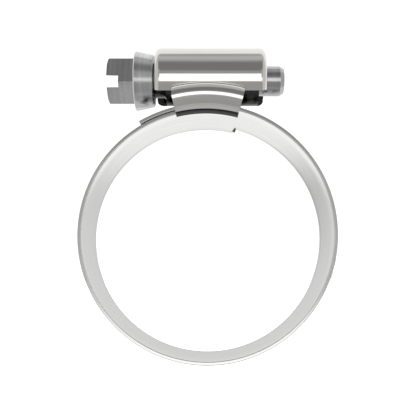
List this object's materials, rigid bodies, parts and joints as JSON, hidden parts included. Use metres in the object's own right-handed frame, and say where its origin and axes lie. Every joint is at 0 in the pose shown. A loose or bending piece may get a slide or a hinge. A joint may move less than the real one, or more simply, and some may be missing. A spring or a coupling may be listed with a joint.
{
  "type": "hose clamp",
  "caption": "Worm-drive hose clamp: a thin metal strip bent round a hose, its ridged end running through a saddle under a tunnel that holds a slotted hexagon screw.",
  "frame": {"origin": "centre of the hose seat: on the hose axis, at mid-width of the strip", "axes": "+Y runs along the hose, +X along the screw from its head to its end pin, and +Z from the hose axis up to the screw"},
  "size_m": [0.0393, 0.0138, 0.049],
  "materials": {
    "housing": "pressed stainless sheet, bright rolled surface",
    "worm_screw": "turned steel, satin",
    "strip": "rolled stainless strip, bright"
  },
  "bodies": {
    "clamp_base": {"housing": "housing", "band_fixed_end": "strip"},
    "screw": {"worm_screw": "worm_screw"},
    "stretch_01": {"band_stretch_01": "strip"},
    "stretch_02": {"band_stretch_02": "strip"},
    "stretch_03": {"band_stretch_03": "strip"},
    "stretch_04": {"band_stretch_04": "strip"},
    "stretch_05": {"band_stretch_05": "strip"},
    "stretch_06": {"band_stretch_06": "strip"},
    "stretch_07": {"band_stretch_07": "strip"},
    "stretch_08": {"band_stretch_08": "strip"},
    "stretch_09": {"band_stretch_09": "strip"},
    "stretch_10": {"band_stretch_10": "strip"},
    "stretch_11": {"band_stretch_11": "strip"}
  },
  "joints": [
    {"name": "screw_turn", "type": "hinge", "parent": "clamp_base", "child": "screw", "pos_m": [0, 0, 0.0247], "axis": [1, 0, 0], "range_deg": [-292, 1462]},
    {"name": "flex_01", "type": "hinge", "parent": "clamp_base", "child": "stretch_01", "pos_m": [-0.00031, 0, 0.01845], "axis": [0, -1, 0], "range_deg": [-0.25, 1.27]},
    {"name": "flex_02", "type": "hinge", "parent": "stretch_01", "child": "stretch_02", "pos_m": [-0.01106, 0, 0.01501], "axis": [0, -1, 0], "range_deg": [-0.52, 2.6]},
    {"name": "flex_03", "type": "hinge", "parent": "stretch_02", "child": "stretch_03", "pos_m": [-0.01782, 0, 0.00593], "axis": [0, -1, 0], "range_deg": [-0.53, 2.63]},
    {"name": "flex_04", "type": "hinge", "parent": "stretch_03", "child": "stretch_04", "pos_m": [-0.01804, 0, -0.00543], "axis": [0, -1, 0], "range_deg": [-0.53, 2.63]},
    {"name": "flex_05", "type": "hinge", "parent": "stretch_04", "child": "stretch_05", "pos_m": [-0.0116, 0, -0.01484], "axis": [0, -1, 0], "range_deg": [-0.52, 2.6]},
    {"name": "flex_06", "type": "hinge", "parent": "stretch_05", "child": "stretch_06", "pos_m": [-0.00085, 0, -0.01876], "axis": [0, -1, 0], "range_deg": [-0.51, 2.55]},
    {"name": "flex_07", "type": "hinge", "parent": "stretch_06", "child": "stretch_07", "pos_m": [0.01021, 0, -0.0157], "axis": [0, -1, 0], "range_deg": [-0.5, 2.5]},
    {"name": "flex_08", "type": "hinge", "parent": "stretch_07", "child": "stretch_08", "pos_m": [0.01745, 0, -0.00674], "axis": [0, -1, 0], "range_deg": [-0.49, 2.47]},
    {"name": "flex_09", "type": "hinge", "parent": "stretch_08", "child": "stretch_09", "pos_m": [0.01814, 0, 0.00481], "axis": [0, -1, 0], "range_deg": [-0.49, 2.46]},
    {"name": "flex_10", "type": "hinge", "parent": "stretch_09", "child": "stretch_10", "pos_m": [0.01197, 0, 0.01463], "axis": [0, -1, 0], "range_deg": [-0.5, 2.49]},
    {"name": "flex_11", "type": "hinge", "parent": "stretch_10", "child": "stretch_11", "pos_m": [0.0012, 0, 0.01905], "axis": [0, -1, 0], "range_deg": [-0.51, 2.54]}
  ],
  "couplings": [
    {"joint": "flex_01", "follows": "screw_turn", "ratio": 0.00085444},
    {"joint": "flex_02", "follows": "screw_turn", "ratio": 0.0017437},
    {"joint": "flex_03", "follows": "screw_turn", "ratio": 0.0017655},
    {"joint": "flex_04", "follows": "screw_turn", "ratio": 0.0017662},
    {"joint": "flex_05", "follows": "screw_turn", "ratio": 0.0017456},
    {"joint": "flex_06", "follows": "screw_turn", "ratio": 0.0017113},
    {"joint": "flex_07", "follows": "screw_turn", "ratio": 0.0016761},
    {"joint": "flex_08", "follows": "screw_turn", "ratio": 0.0016531},
    {"joint": "flex_09", "follows": "screw_turn", "ratio": 0.0016509},
    {"joint": "flex_10", "follows": "screw_turn", "ratio": 0.0016704},
    {"joint": "flex_11", "follows": "screw_turn", "ratio": 0.0017041}
  ]
}
